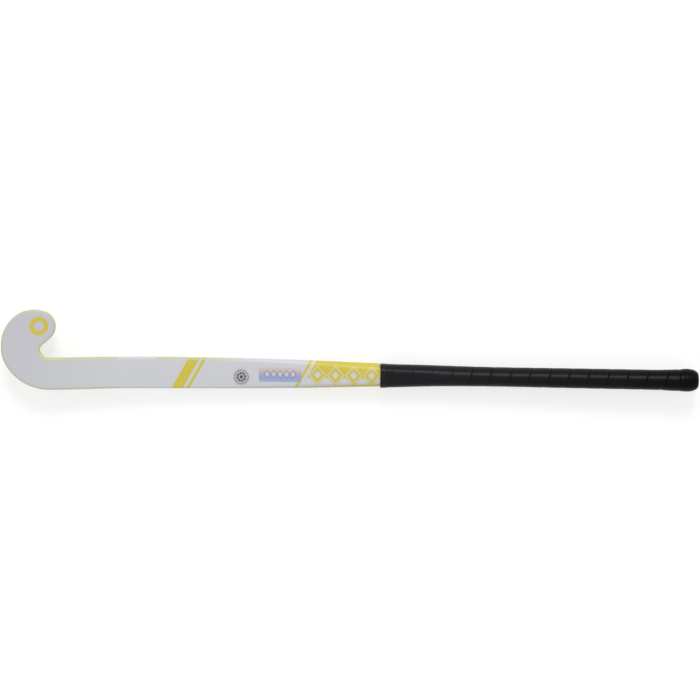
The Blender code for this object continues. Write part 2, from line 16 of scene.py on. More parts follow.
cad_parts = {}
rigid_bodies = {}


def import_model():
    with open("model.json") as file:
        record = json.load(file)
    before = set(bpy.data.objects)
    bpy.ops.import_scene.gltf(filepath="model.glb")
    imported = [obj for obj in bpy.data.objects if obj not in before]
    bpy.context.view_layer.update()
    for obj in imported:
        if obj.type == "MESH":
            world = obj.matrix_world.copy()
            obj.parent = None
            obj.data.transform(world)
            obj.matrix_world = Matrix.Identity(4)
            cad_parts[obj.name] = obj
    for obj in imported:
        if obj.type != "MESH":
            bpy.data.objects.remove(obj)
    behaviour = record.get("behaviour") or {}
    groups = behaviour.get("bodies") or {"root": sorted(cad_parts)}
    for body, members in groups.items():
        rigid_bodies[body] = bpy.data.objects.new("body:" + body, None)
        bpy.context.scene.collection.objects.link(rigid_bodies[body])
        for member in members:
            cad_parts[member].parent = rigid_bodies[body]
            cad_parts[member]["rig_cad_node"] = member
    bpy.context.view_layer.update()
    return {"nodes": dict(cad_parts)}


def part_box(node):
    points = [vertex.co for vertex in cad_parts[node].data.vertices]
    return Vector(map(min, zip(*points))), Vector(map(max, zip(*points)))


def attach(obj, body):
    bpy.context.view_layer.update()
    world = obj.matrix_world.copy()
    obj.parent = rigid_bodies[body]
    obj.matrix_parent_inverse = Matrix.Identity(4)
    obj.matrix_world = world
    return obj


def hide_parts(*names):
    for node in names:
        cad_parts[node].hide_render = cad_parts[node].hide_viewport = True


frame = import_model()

MM = 0.001

# %% [markdown]
# Seen from the side, the playing face is one line: straight along the head, bent through the
# bow, and straight again in the handle. The lacquer has to know how far below the face a place
# lies, and the grip and the cap have to know where the middle of the handle is. Both could be
# measured on the mesh, but a maker draws a stick round such a line, so it is a short formula.

# %% The line of the playing face
HOOK_END_X = -463.5 * MM
FACE_HEIGHT = 42.60 * MM  # above the floor, at the hook's end
HEAD_SLOPE = -0.0883
HANDLE_SLOPE = 0.0349
BOW_TURN = HANDLE_SLOPE - HEAD_SLOPE
BOW_START = 95 * MM  # from the hook's end
BOW_RUN = 335 * MM


def face_height(x):
    """Height of the playing face above the floor, x metres along the stick."""
    along = x - HOOK_END_X
    bent = min(max(along - BOW_START, 0), BOW_RUN)
    beyond = max(along - BOW_START - BOW_RUN, 0)
    return FACE_HEIGHT + HEAD_SLOPE * along + BOW_TURN * (bent * bent / (2 * BOW_RUN) + beyond)


print("face height in mm", [round(face_height(x * MM) / MM, 2) for x in (-430, -200, 0, 200)])

# %% [markdown]
# The photograph looks down on the playing side, tilted a little from the toe side, with the
# handle slightly low at the right. A short lens close by would make the middle of the stick
# look thicker than its ends, so the camera is a long lens six metres away. Its three axes are
# worked out from the tilt and the roll, and a matrix turns them into a rotation.

# %% Camera
CAMERA_TILT = math.radians(8.2)
CAMERA_ROLL = math.radians(0.78)
CAMERA_AIM = Vector((-0.24, 5.35, 34)) * MM
CAMERA_DISTANCE = 6.0
CAMERA_REACH = 50.0
SENSOR_WIDTH = 36.0
SEEN_WIDTH = 928.7 * MM

bpy.ops.object.select_all(action="DESELECT")
back = Vector((0, math.sin(CAMERA_TILT), math.cos(CAMERA_TILT)))
level_up = Vector((0, math.cos(CAMERA_TILT), -math.sin(CAMERA_TILT)))
right = math.cos(CAMERA_ROLL) * Vector((1, 0, 0)) + math.sin(CAMERA_ROLL) * level_up
up = back.cross(right)
bpy.ops.object.camera_add(location=CAMERA_AIM + back * CAMERA_DISTANCE)
camera = bpy.context.object
camera.rotation_euler = Matrix((right, up, back)).transposed().to_euler()
camera.data.type = "PERSP"
camera.data.sensor_width = SENSOR_WIDTH
camera.data.lens = SENSOR_WIDTH * CAMERA_DISTANCE / SEEN_WIDTH
camera.data.clip_end = CAMERA_REACH
bpy.context.scene.camera = camera
bpy.context.scene.view_settings.view_transform = "Standard"
print("lens in mm", round(camera.data.lens, 1))

# %% [markdown]
# The finishes of this stick are sums of masks, such as "within this ring, and above that line".
# Such sums could be wired by hand in the shader editor, but they soon grow past reading. Here a
# small class wraps a socket. A sum on wrapped sockets reads like ordinary Python, and adds its
# Math nodes by itself, also when the plain number comes first, as in 1 - mask.

# %% A socket that can be used in sums


class Wire:
    """A socket's value, which can be used in sums."""

    def __init__(self, nodes, socket):
        self.nodes = nodes
        self.socket = socket

    def beside(self, output):
        """Another output of the same node."""
        return Wire(self.nodes, self.socket.node.outputs[output])

    def math(self, operation, *others, clamp=False):
        """A Math node with this value in its first socket."""
        return self.nodes.math(operation, self, *others, clamp=clamp)

    def __add__(self, other):
        return self.nodes.math("ADD", self, other)

    def __radd__(self, other):
        return self.nodes.math("ADD", other, self)

    def __sub__(self, other):
        return self.nodes.math("SUBTRACT", self, other)

    def __rsub__(self, other):
        return self.nodes.math("SUBTRACT", other, self)

    def __mul__(self, other):
        return self.nodes.math("MULTIPLY", self, other)

    def __rmul__(self, other):
        return self.nodes.math("MULTIPLY", other, self)

    def __truediv__(self, other):
        return self.nodes.math("DIVIDE", self, other)

    def __rtruediv__(self, other):
        return self.nodes.math("DIVIDE", other, self)

    def ramp(self, start, end):
        """0 where the value is at start or before it, 1 from end on, and straight between."""
        run = end - start
        return self.math("MULTIPLY_ADD", 1 / run, -start / run, clamp=True)

    def above(self, level, soft):
        """1 above a level and 0 below it, with a step as wide as soft between."""
        return self.ramp(level - soft / 2, level + soft / 2)

    def below(self, level, soft):
        """1 below a level and 0 above it, with a step as wide as soft between."""
        return self.ramp(level + soft / 2, level - soft / 2)

    def between(self, low, high, soft):
        """1 between two levels and 0 outside them."""
        return self.above(low, soft) * self.below(high, soft)

    def either(self, *masks):
        """1 where this mask or any of the others is 1."""
        most = self
        for mask in masks:
            most = most.math("MAXIMUM", mask)
        return most


print("besides sums, a wire has", ", ".join(name for name in vars(Wire) if name[0] != "_"))

# %% [markdown]
# Every node comes from one method. It takes the node's type, its settings, such as a Math node's
# operation or a ramp's stops, and the values or links of its sockets. The settings are made
# first, because some of them change which sockets a node has.

# %% The method that adds nodes


class Nodes:
    """A node tree, and the method that adds nodes to it."""

    def __init__(self, tree):
        self.tree = tree
        tree.nodes.clear()

    def node(self, kind, sockets=None, output=0, stops=(), **settings):
        """Adds a node, makes its settings, then sets or links its sockets."""
        made = self.tree.nodes.new(kind)
        for name, value in settings.items():
            setattr(made, name, value)
        while stops and len(made.color_ramp.elements) < len(stops):
            made.color_ramp.elements.new(1)
        for number, (position, tone) in enumerate(stops):
            made.color_ramp.elements[number].position = position
            made.color_ramp.elements[number].color = tone
        for name, value in (sockets or {}).items():
            if isinstance(value, Wire):
                self.tree.links.new(value.socket, made.inputs[name])
            else:
                made.inputs[name].default_value = value
        return Wire(self, made.outputs[output]) if made.outputs else None

    def math(self, operation, *values, clamp=False):
        """A Math node on numbers and wires, in the order of its sockets."""
        sockets = dict(enumerate(values))
        return self.node("ShaderNodeMath", sockets, operation=operation, use_clamp=clamp)

    def shown(self):
        """1 on what the camera sees, also mirrored or through glass. 0 on the light it gives."""
        seen = self.node("ShaderNodeLightPath", output="Is Camera Ray")
        return seen.either(seen.beside("Is Glossy Ray"), seen.beside("Is Transmission Ray"))


print("a tree's methods are", ", ".join(name for name in vars(Nodes) if name[0] != "_"))

# %% [markdown]
# A finish is a material with its own coordinates ready. All patterns here use Object coordinates,
# which are real metres on the stick: a print stays on its place, and a grain keeps its real size,
# without unwrapping anything. Noise gives clouds and grain, and a Bump node turns a pattern into
# fine relief.

# %% A finish


class Finish(Nodes):
    """A material of this stick, with the place on the stick as x, y and z in metres."""

    def __init__(self, name):
        self.material = bpy.data.materials.new(name)
        self.material.use_nodes = True
        super().__init__(self.material.node_tree)
        self.place = self.node("ShaderNodeTexCoord", output="Object")
        self.x = self.node("ShaderNodeSeparateXYZ", {0: self.place}, output="X")
        self.y = self.x.beside("Y")
        self.z = self.x.beside("Z")

    def mix(self, mask, first, second):
        """The first colour where the mask is 0, the second where it is 1."""
        colours = {0: mask, 6: first, 7: second}
        return self.node("ShaderNodeMix", colours, output=2, data_type="RGBA")

    def noise(self, size, detail=2.0, roughness=0.5):
        """A cloudy pattern from 0 to 1, whose clouds are about size metres across."""
        sockets = {"Vector": self.place, "Scale": 1 / size, "Detail": detail,
                   "Roughness": roughness}
        return self.node("ShaderNodeTexNoise", sockets)

    def cells(self, size):
        """Distance to the nearest of many scattered points, about size metres apart."""
        return self.node("ShaderNodeTexVoronoi", {"Vector": self.place, "Scale": 1 / size})

    def bump(self, height, distance, strength):
        """Fine relief, distance metres high where height runs from 0 to 1."""
        sockets = {"Strength": strength, "Distance": distance, "Height": height}
        return self.node("ShaderNodeBump", sockets)

    def surface(self, sockets):
        """Ends the material with one Principled shader, and returns the material."""
        shader = self.node("ShaderNodeBsdfPrincipled", sockets)
        self.node("ShaderNodeOutputMaterial", {"Surface": shader})
        print(self.material.name, "has", len(self.tree.nodes), "nodes")
        return self.material


# %% [markdown]
# Paint is matched in steps from 0 to 255, but a shader reckons with amounts of light. The
# curve between the two is the one that every screen uses, so a colour is written as on a paint
# chart and turned into light here.

# %% Colours


def colour(red, green, blue):
    """A colour as a paint chart writes it, 0 to 255, turned into light values."""
    light = []
    for value in (red, green, blue):
        part = value / 255
        light.append(part / 12.92 if part <= 0.04045 else ((part + 0.055) / 1.055) ** 2.4)
    return (*light, 1.0)


print("middle grey as light", [round(value, 3) for value in colour(128, 128, 128)])

# %% [markdown]
# The stick is photographed as a cut-out on white. A studio would use a sweep of white paper with
# a light of its own. Here a wide plane lies just below the bow. To the stick it is plain white
# paper. To the camera, and in what the stick mirrors, it is a darker paper that glows, which
# comes out white as well and keeps the shadow faint.

# %% Floor
FLOOR_WIDTH = 30.0
FLOOR_DROP = 0.2 * MM
PAPER = (0.8, 0.8, 0.8, 1)
SHOWN_PAPER = (0.42, 0.42, 0.42, 1)
SHOWN_GLOW = (0.64, 0.64, 0.64, 1)
NO_GLOW = (0, 0, 0, 1)

bpy.ops.mesh.primitive_plane_add(size=FLOOR_WIDTH, location=(0, 0, -FLOOR_DROP))
floor = bpy.context.object
floor.name = "studio_floor"
paper = Finish("studio_floor_white")
paper_shown = paper.shown()
floor.data.materials.append(paper.surface({
    "Base Color": paper.mix(paper_shown, PAPER, SHOWN_PAPER),
    "Roughness": 1.0,
    "Specular IOR Level": 0.0,
    "Emission Color": paper.mix(paper_shown, NO_GLOW, SHOWN_GLOW),
    "Emission Strength": 1.0,
}))

# %% [markdown]
# The light is plain and soft. A pale sky lights the stick from all round, and one large lamp
# stands on the toe side, which makes the shoulder along the toe side a little lighter than the
# flat face. A sun lamp with a wide angle does that evenly over the whole metre of the stick,
# where an area lamp would be stronger in the middle.

# %% Sky and lamp
SKY_LIGHT = 0.69
SKY_SHOWN = 1.0
LAMP_LEAN = math.radians(50)
LAMP_ANGLE = math.radians(22)
LAMP_STRENGTH = 1.4

world = bpy.data.worlds.new("studio_sky")
bpy.context.scene.world = world
world.use_nodes = True
sky = Nodes(world.node_tree)
sky_strength = sky.shown() * (SKY_SHOWN - SKY_LIGHT) + SKY_LIGHT
sky_light = sky.node("ShaderNodeBackground", {"Color": (1, 1, 1, 1), "Strength": sky_strength})
sky.node("ShaderNodeOutputWorld", {"Surface": sky_light})

bpy.ops.object.light_add(type="SUN", location=(0, 1, 2), rotation=(-LAMP_LEAN, 0, 0))
lamp = bpy.context.object
lamp.name = "soft_lamp"
lamp.data.angle = LAMP_ANGLE
lamp.data.energy = LAMP_STRENGTH
level_light = SKY_LIGHT + LAMP_STRENGTH * math.cos(LAMP_LEAN) / math.pi
print("light on a level surface", round(level_light, 2))

# %% [markdown]
# A CAD node arrives as loose triangles with flat faces. Its copy is merged into one skin, and its
# triangles are joined back to four-sided faces, because a Subdivision Surface modifier rounds
# those far more evenly. Edges that are sharp on the real piece are creased first, so that they
# stay where they are. The CAD node itself is left alone.

# %% One skin from a CAD node
WELD = 0.001 * MM
FLAT_WITHIN = math.radians(40)
SQUARE_WITHIN = math.radians(60)


def pick(piece):
    """Makes a piece the only selected object."""
    bpy.ops.object.select_all(action="DESELECT")
    piece.select_set(True)
    bpy.context.view_layer.objects.active = piece


def merged_copy(node, name, crease_angle, crease):
    """A copy of a CAD node as one skin of four-sided faces, its sharper edges creased."""
    pick(frame["nodes"][node])
    bpy.ops.object.duplicate()
    piece = bpy.context.object
    piece.name = name
    piece.data.name = name
    del piece["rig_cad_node"]
    piece.data.materials.clear()
    bpy.ops.object.mode_set(mode="EDIT")
    bpy.ops.mesh.select_all(action="SELECT")
    bpy.ops.mesh.remove_doubles(threshold=WELD)
    bpy.ops.mesh.tris_convert_to_quads(face_threshold=FLAT_WITHIN, shape_threshold=SQUARE_WITHIN)
    bpy.ops.mesh.select_mode(type="EDGE")
    bpy.ops.mesh.select_all(action="DESELECT")
    bpy.ops.mesh.edges_select_sharp(sharpness=crease_angle)
    bpy.ops.transform.edge_crease(value=crease)
    bpy.ops.object.mode_set(mode="OBJECT")
    print(name, len(piece.data.vertices), "points,", len(piece.data.polygons), "faces")
    return piece


# %% [markdown]
# By hand one would click the faces or edges to work on. A script chooses them by a rule, such as
# where they are or which way they face, and then runs the same operator as by hand.

# %% Edit what a rule chooses


def edit_chosen(piece, kind, rule, operator, amount):
    """Selects the faces or edges that a rule chooses, and runs an edit mode operator on them."""
    pick(piece)
    bpy.ops.object.mode_set(mode="EDIT")
    bpy.ops.mesh.select_mode(type=kind)
    bpy.ops.mesh.select_all(action="DESELECT")
    mesh = bmesh.from_edit_mesh(piece.data)
    elements = mesh.faces if kind == "FACE" else mesh.edges
    for element in elements:
        element.select_set(rule(element))
    print(piece.name, sum(element.select for element in elements), kind.lower() + "s chosen")
    bmesh.update_edit_mesh(piece.data)
    operator(value=amount)
    bpy.ops.object.mode_set(mode="OBJECT")


def subdivide(piece, levels):
    """Rounds a piece with a Subdivision Surface modifier, and applies it."""
    pick(piece)
    modifier = piece.modifiers.new("smooth", "SUBSURF")
    modifier.levels = levels
    modifier.render_levels = levels
    bpy.ops.object.modifier_apply(modifier=modifier.name)


# %% [markdown]
# A finished skin takes the place of its CAD node. The node stays in the motion model for its
# collision, and the skin rides on the same body. How far the skin stands in from the node's box
# is printed, because a rounded piece easily ends up smaller or larger than the real one.

# %% Put a skin in the place of its CAD node


def finished(piece, node, material, smooth_angle):
    """Shades a piece, gives it its material, and puts it in the place of its CAD node."""
    pick(piece)
    bpy.ops.object.shade_smooth_by_angle(angle=smooth_angle)
    piece.data.materials.clear()
    piece.data.materials.append(material)
    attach(piece, "root")
    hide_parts(node)
    low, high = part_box(node)
    places = [vertex.co for vertex in piece.data.vertices]
    for axis, letter in enumerate("xyz"):
        below = round((min(co[axis] for co in places) - low[axis]) / MM, 2)
        above = round((high[axis] - max(co[axis] for co in places)) / MM, 2)
        print(piece.name, letter, "in from the box of", node, "by", below, "and", above, "mm")
    print(piece.name, len(piece.data.polygons), "faces")


# %% [markdown]
# On the real stick the lacquer is sprayed over the moulded laminate, the prints are transfers
# under the clear coat, and the moulded edge of the head is masked and sprayed yellow. All of
# that could be painted on an unwrapped image. Here it is worked out from the place on the stick,
# so it is sharp at any distance. Three numbers say where a place is: how far it lies along the
# stick, across it from its middle line, and below the playing face. They are in millimetres, and
# so are the places and sizes of the prints.

# %% Where the lacquer is
SHAFT_Y = -30.19 * MM

paint = Finish("stick_lacquer")
along = paint.x - HOOK_END_X
bent = (along - BOW_START).math("MAXIMUM", 0).math("MINIMUM", BOW_RUN)
beyond = (along - (BOW_START + BOW_RUN)).math("MAXIMUM", 0)
drop = along * HEAD_SLOPE + bent * bent * (BOW_TURN / (2 * BOW_RUN)) + beyond * BOW_TURN
depth = (drop + FACE_HEIGHT - paint.z) / MM
across = (paint.y - SHAFT_Y) / MM
x_mm = paint.x / MM
print(len(paint.tree.nodes), "nodes say where a place on the lacquer is")

# %% [markdown]
# The yellow starts where the surface falls away from the flat face, and ends before the back. It
# goes all round the head, and then along a part of the toe side, where it thins out. A slow
# noise lets the masked line waver a little, as a hand-masked one does.

# %% The yellow edge of the head
EDGE_TOP = 0.55
EDGE_BOTTOM = 16.5
EDGE_LEAN = 1.4  # the yellow's ends slant, this far along for each millimetre down
EDGE_WAVER = 0.2
EDGE_END_SOFT = 0.8
HEAD_EDGE_END = -306
TOE_SIDE_EDGE = (-256, -140)
EDGE_FADE = (-150, -195)
EDGE_LEFT = 0.35  # how much of the yellow is left at its thin end

waver = paint.noise(9 * MM) * EDGE_WAVER
edge_depth = depth + waver
on_wall = edge_depth.above(EDGE_TOP, 0.7) * edge_depth.below(EDGE_BOTTOM, 0.5)
edge_x = x_mm + depth * EDGE_LEAN + waver
on_head = edge_x.below(HEAD_EDGE_END, EDGE_END_SOFT)
on_toe_side = edge_x.between(*TOE_SIDE_EDGE, EDGE_END_SOFT) * across.above(0, 1)
thinning = x_mm.ramp(*EDGE_FADE) * (1 - EDGE_LEFT) + EDGE_LEFT
edge_mask = on_wall * on_head.either(on_toe_side * thinning)
print("the yellow edge is", round(EDGE_BOTTOM - EDGE_TOP, 2), "mm high")

# %% [markdown]
# The prints on the head and the blade are plain: a ring, and a wide and a thin slanted bar. A
# very fine noise roughens their outline by a tenth of a millimetre, as screen printing does.

# %% The ring and the bars
PRINT_SOFT = 0.15
PRINT_WAVER = 0.12
PRINT_LEAN = 0.55
WIDE_BAR = (-226, -211)
THIN_BAR = (-206.5, -202)
BAR_DEPTH = 10.5
RING_X = -413
RING_Y = 62.5
RING_RADII = (6.5, 12.5)
RING_DEPTH = 2.4

print_waver = paint.noise(0.6 * MM) * PRINT_WAVER
slanted_x = x_mm - across * PRINT_LEAN
bar_x = slanted_x + print_waver
bars = bar_x.between(*WIDE_BAR, PRINT_SOFT).either(bar_x.between(*THIN_BAR, PRINT_SOFT))
bars = bars * depth.below(BAR_DEPTH, 0.5)
ring_x = x_mm - RING_X
ring_y = across - RING_Y
ring_radius = (ring_x * ring_x + ring_y * ring_y).math("SQRT") + print_waver
on_face = depth.below(RING_DEPTH, 0.8)
ring = ring_radius.between(*RING_RADII, PRINT_SOFT) * on_face
print("the ring is", 2 * RING_RADII[1], "mm across, and the bars lean by", PRINT_LEAN)

# %% [markdown]
# Below the grip lies a yellow field with a row of lozenges, and a thin yellow bar before it. One
# lozenge is the sum of two distances, along and across, that stays under a limit. The fraction
# of the place along, divided by the length of a lozenge, repeats it in a row.

# %% The field of lozenges
LOZENGE_LONG = 24.0
LOZENGE_WIDE = 26.0
FIELD_START = -55.0
FIELD_BAR = (FIELD_START - 9, FIELD_START - 5)
FIELD_SOFT = 0.2
LOZENGE_SOFT = 0.01
LOZENGE_LINE = (0.42, 0.48)
LOZENGE_KERNEL = 0.2
CORNER_REACH = 0.55
CORNER_Y = -4

step = ((x_mm - FIELD_START) / LOZENGE_LONG).math("FRACT") - 0.5
reach = step.math("ABSOLUTE") + (across / LOZENGE_WIDE).math("ABSOLUTE") + print_waver * 0.02
lozenge_line = reach.between(*LOZENGE_LINE, LOZENGE_SOFT)
kernel = reach.below(LOZENGE_KERNEL, LOZENGE_SOFT)
corner = reach.above(CORNER_REACH, LOZENGE_SOFT) * across.below(CORNER_Y, FIELD_SOFT)
left_white = lozenge_line.either(kernel, corner) * on_face
field = slanted_x.above(FIELD_START, FIELD_SOFT) * (1 - left_white)
field_bar = slanted_x.between(*FIELD_BAR, FIELD_SOFT)
prints = bars.either(ring, field, field_bar)
print("lozenges start at", FIELD_START, "mm and are", LOZENGE_LONG, "mm long")

# %% [markdown]
# The white turns a little greyer towards the head, which is painted shade, and lavender at the toe,
# with faint clouds. The yellow edge is painted paler and greyer near the face, which is painted
# shade, and stronger in the throat of the hook, which is a painted highlight, and lower down its
# wall.

# %% Colours of the lacquer
WHITE = colour(203, 204, 208)
WHITE_CLOUD = colour(208, 209, 213)
WHITE_HEAD_SHADED = colour(194, 195, 200)
WHITE_TOE = colour(193, 191, 202)
YELLOW = colour(205, 190, 72)
EDGE_PALE_SHADED = colour(189, 194, 152)
EDGE_YELLOW = colour(200, 207, 114)
HEAD_SHADE_RUN = (-310, -440)
TOE_TINT = (0, 70)
TOE_TINT_END = -380
THROAT_X = -403
THROAT_Y = 23
THROAT_REACH = 22

cloud = paint.noise(60 * MM, 3)
toe_tint = across.ramp(*TOE_TINT) * x_mm.below(TOE_TINT_END, 60)
# Painted shade: the white turns greyer towards the head.
white = paint.mix(x_mm.ramp(*HEAD_SHADE_RUN), WHITE, WHITE_HEAD_SHADED)
white = paint.mix(toe_tint * 0.8, white, WHITE_TOE)
white = paint.mix(cloud * 0.2, white, WHITE_CLOUD)
throat_x = x_mm - THROAT_X
throat_y = across - THROAT_Y
# Painted highlight: the edge is a stronger yellow in the throat of the hook, where the light falls.
lit_throat = (throat_x * throat_x + throat_y * throat_y).math("SQRT").below(THROAT_REACH, 18)
low_on_wall = depth.above(6, 8) * 0.85
# Painted shade: elsewhere near the face the edge is painted a paler, greyer yellow.
edge_paint = paint.mix(lit_throat.either(low_on_wall), EDGE_PALE_SHADED, EDGE_YELLOW)
printed_white = paint.mix(prints, white, YELLOW)
print("white and yellow as light", [[round(value, 2) for value in tone] for tone in (WHITE, YELLOW)])

# %% [markdown]
# Sprayed lacquer isn't glass. It has a satin gloss under a thin clear coat, and a faint orange
# peel on top of longer waves, which shows where the light grazes it.

# %% Lacquer
peel = paint.noise(1.6 * MM)
long_waves = paint.noise(14 * MM, 1)
lacquer = paint.surface({
    "Base Color": paint.mix(edge_mask, printed_white, edge_paint),
    "Roughness": cloud * 0.08 + 0.44,
    "IOR": 1.45,
    "Specular IOR Level": 0.3,
    "Coat Weight": 0.1,
    "Coat Roughness": 0.3,
    "Normal": paint.bump(peel * 0.4 + long_waves, 0.05 * MM, 0.25),
})

# %% [markdown]
# The lacquer stops at the grip. Under the tape the handle is bare black laminate, dull and dusty
# from moulding, which shows only in the narrow seams between the turns.

# %% The bare handle under the grip
primer = Finish("bare_handle_black")
dust = primer.noise(5 * MM, 3)
bare_black = primer.surface({
    "Base Color": primer.mix(dust, colour(9, 9, 10), colour(15, 15, 16)),
    "Roughness": dust * 0.1 + 0.85,
    "Specular IOR Level": 0.05,
    "Normal": primer.bump(dust, 0.05 * MM, 0.2),
})

# %% [markdown]
# The outer laminate is one moulded skin from the toe to the butt. It could be modelled again
# from curves, but its CAD loft has the right sections, so a subdivided copy of it is smooth
# everywhere and keeps the crisp edge of the playing face. Faces beyond the lacquer's end take
# the black of the bare handle.

# %% The painted stick
GRIP_START_X = 40.5 * MM
LACQUER_UNDER_GRIP = 1.6 * MM
LACQUER_END_X = GRIP_START_X + LACQUER_UNDER_GRIP
SMOOTH_SHELL = math.radians(40)

stick = merged_copy("laminate_shell", "painted_stick", crease_angle=math.radians(50), crease=0.75)
subdivide(stick, levels=2)
finished(stick, "laminate_shell", lacquer, SMOOTH_SHELL)
stick.data.materials.append(bare_black)
covered = [face for face in stick.data.polygons if face.center.x > LACQUER_END_X]
for face in covered:
    face.material_index = 1
print(len(covered), "faces of the skin lie under the grip")

# %% [markdown]
# The grip is one long strip of soft polymer tape. Its finish is a dull sheen over a fine leathery
# grain, with pores, and faint smudges from hands. Its colour is painted darker towards the cap, as
# painted shade, from a dark grey at its lower end to nearly black at the cap.

# %% Finish of the grip
SHADE_TO_CAP_RUN = (120 * MM, 440 * MM)

tape = Finish("grip_tape_black")
grain = tape.noise(0.55 * MM, 3, 0.6)
pores = tape.cells(0.9 * MM)
smudge = tape.noise(26 * MM, 3)
# Painted shade: the tape's colour darkens from dark grey to nearly black towards the cap.
painted_shade_to_cap = tape.x.ramp(*SHADE_TO_CAP_RUN)
lower_black = tape.mix(smudge, colour(24, 25, 27), colour(31, 32, 34))
upper_black_shaded = tape.mix(smudge, colour(3, 3, 3), colour(8, 8, 8))
grip_black = tape.surface({
    "Base Color": tape.mix(painted_shade_to_cap, lower_black, upper_black_shaded),
    "Roughness": smudge * 0.08 + painted_shade_to_cap * 0.03 + 0.235,
    "Specular IOR Level": 0.07,
    "Normal": tape.bump(grain * 0.6 + pores * 0.4, 0.16 * MM, 0.6),
})

# %% [markdown]
# Which way is out depends on where the middle of the handle is, and the handle is bowed. Its
# middle line runs a fixed depth below the line of the playing face. A face of the tape looks
# out if its normal points away from that line.

# %% The middle line of the handle
CORE_DEPTH = 13.4 * MM
OUTWARD = 0.5  # the normal is within 60 degrees of straight out


def middle_line(x):
    """The middle of the handle, x metres along the stick."""
    return Vector((x, SHAFT_Y, face_height(x) - CORE_DEPTH))


def looks_out(face):
    """Whether a face points away from the middle line of the handle."""
    middle = face.calc_center_median()
    outward = (middle - middle_line(middle.x)).normalized()
    return face.normal.dot(outward) > OUTWARD


print("middle of the handle at 250 mm", [round(value / MM, 1) for value in middle_line(0.25)])

# %% [markdown]
# Real tape is cushioned: pulled tight, each turn swells in its middle and rolls down into the
# seam beside it. The first two seams are pressed flush, and the others open up over the next
# turns. The tape's section has a wide middle and a short slanted rim on each side. Moving the
# line between them inwards makes a rounder shoulder, and moving the rim up and towards its
# neighbour makes the seam a narrow valley.

# %% Round the turns of the tape
RIM_EDGE = 1.2 * MM  # edges across the rim are shorter
MIDDLE_EDGE = 4 * MM  # edges across the tape's middle are longer
ALONG_SHARE = 0.85
SHOULDER = 1.3 * MM
RIM_RISE = 0.12 * MM
RIM_CLOSING = 0.11 * MM
FLUSH_END_X = 85 * MM
OPENING_RUN = 70 * MM
FLUSH_RISE = 0.3 * MM
FLUSH_CLOSING = 0.1 * MM


def lies_along(edge):
    """Whether an edge runs along the stick, which is across the tape."""
    run = edge.verts[1].co - edge.verts[0].co
    return abs(run.x) > ALONG_SHARE * run.length


def round_turns(piece):
    """Moves the shoulders of the tape in, and its rims up and together."""
    mesh = bmesh.new()
    mesh.from_mesh(piece.data)
    creases = mesh.edges.layers.float["crease_edge"]
    moves = []
    for point in mesh.verts:
        across_tape = [edge for edge in point.link_edges if lies_along(edge)]
        to_rim = [edge for edge in across_tape if edge.calc_length() < RIM_EDGE]
        to_middle = [edge for edge in across_tape if edge.calc_length() > MIDDLE_EDGE]
        if to_rim and to_middle:
            rim = to_rim[0].other_vert(point)
            inward = (to_middle[0].other_vert(point).co - point.co).normalized()
            outward = (rim.co - middle_line(rim.co.x)).normalized()
            opened = min(max((point.co.x - FLUSH_END_X) / OPENING_RUN, 0), 1)
            flush = 1 - opened
            rise = RIM_RISE + flush * FLUSH_RISE
            closing = RIM_CLOSING + flush * FLUSH_CLOSING
            moves.append((point, inward * SHOULDER * opened))
            moves.append((rim, outward * rise - inward * closing))
            for edge in rim.link_edges:
                if edge[creases] > 0 and not lies_along(edge):
                    edge[creases] += (1 - edge[creases]) * flush
    for point, move in moves:
        point.co += move
    mesh.to_mesh(piece.data)
    mesh.free()
    print("moved", len(moves), "points beside the seams")


# %% [markdown]
# The winding comes from the CAD solid, turn by turn, so the grip only has to become soft. After
# the seams are shaped, its outside is pushed out along its normals, because subdivision draws a
# round shape in a little and the cushion swells. The last turn ends square against the cap, so
# the ring of edges there is creased before the piece is subdivided.

# %% The wound grip
CUSHION_SWELL = 0.4 * MM
GRIP_END_X = 437.9 * MM
END_RING_REACH = 0.7 * MM
END_RING_CREASE = 0.6
SMOOTH_ROUND = math.radians(60)


def at_grip_end(edge):
    """Whether an edge lies in the ring where the tape meets the cap."""
    return all(abs(point.co.x - GRIP_END_X) < END_RING_REACH for point in edge.verts)


grip = merged_copy("grip_tape", "wound_grip", crease_angle=math.radians(60), crease=0.3)
round_turns(grip)
edit_chosen(grip, "FACE", looks_out, bpy.ops.transform.shrink_fatten, CUSHION_SWELL)
edit_chosen(grip, "EDGE", at_grip_end, bpy.ops.transform.edge_crease, END_RING_CREASE)
subdivide(grip, levels=2)
finished(grip, "grip_tape", grip_black, SMOOTH_ROUND)

# %% [markdown]
# The cap is moulded from smooth black rubber. Rubber blooms: a faint grey haze comes up in
# clouds, which a large soft noise gives. A very fine one keeps the shine on the rings from
# looking like glass.

# %% Finish of the cap
rubber = Finish("cap_rubber_black")
bloom = rubber.noise(12 * MM, 3)
speck = rubber.noise(0.4 * MM)
cap_black = rubber.surface({
    "Base Color": rubber.mix(bloom, colour(2, 2, 2), colour(6, 6, 6)),
    "Roughness": bloom * 0.1 + 0.26,
    "Specular IOR Level": 0.06,
    "Normal": rubber.bump(speck, 0.03 * MM, 0.2),
})

# %% [markdown]
# Stretched over the handle's end, the cap bulges just behind the grip, and its rings are drawn
# towards its dome. The rings could be cut again in a plain dome. It is simpler to slide the ones
# that the CAD cap has: each point moves along the stick and takes the width that the dome has at
# its new place, and then the bulge is added across the stick.

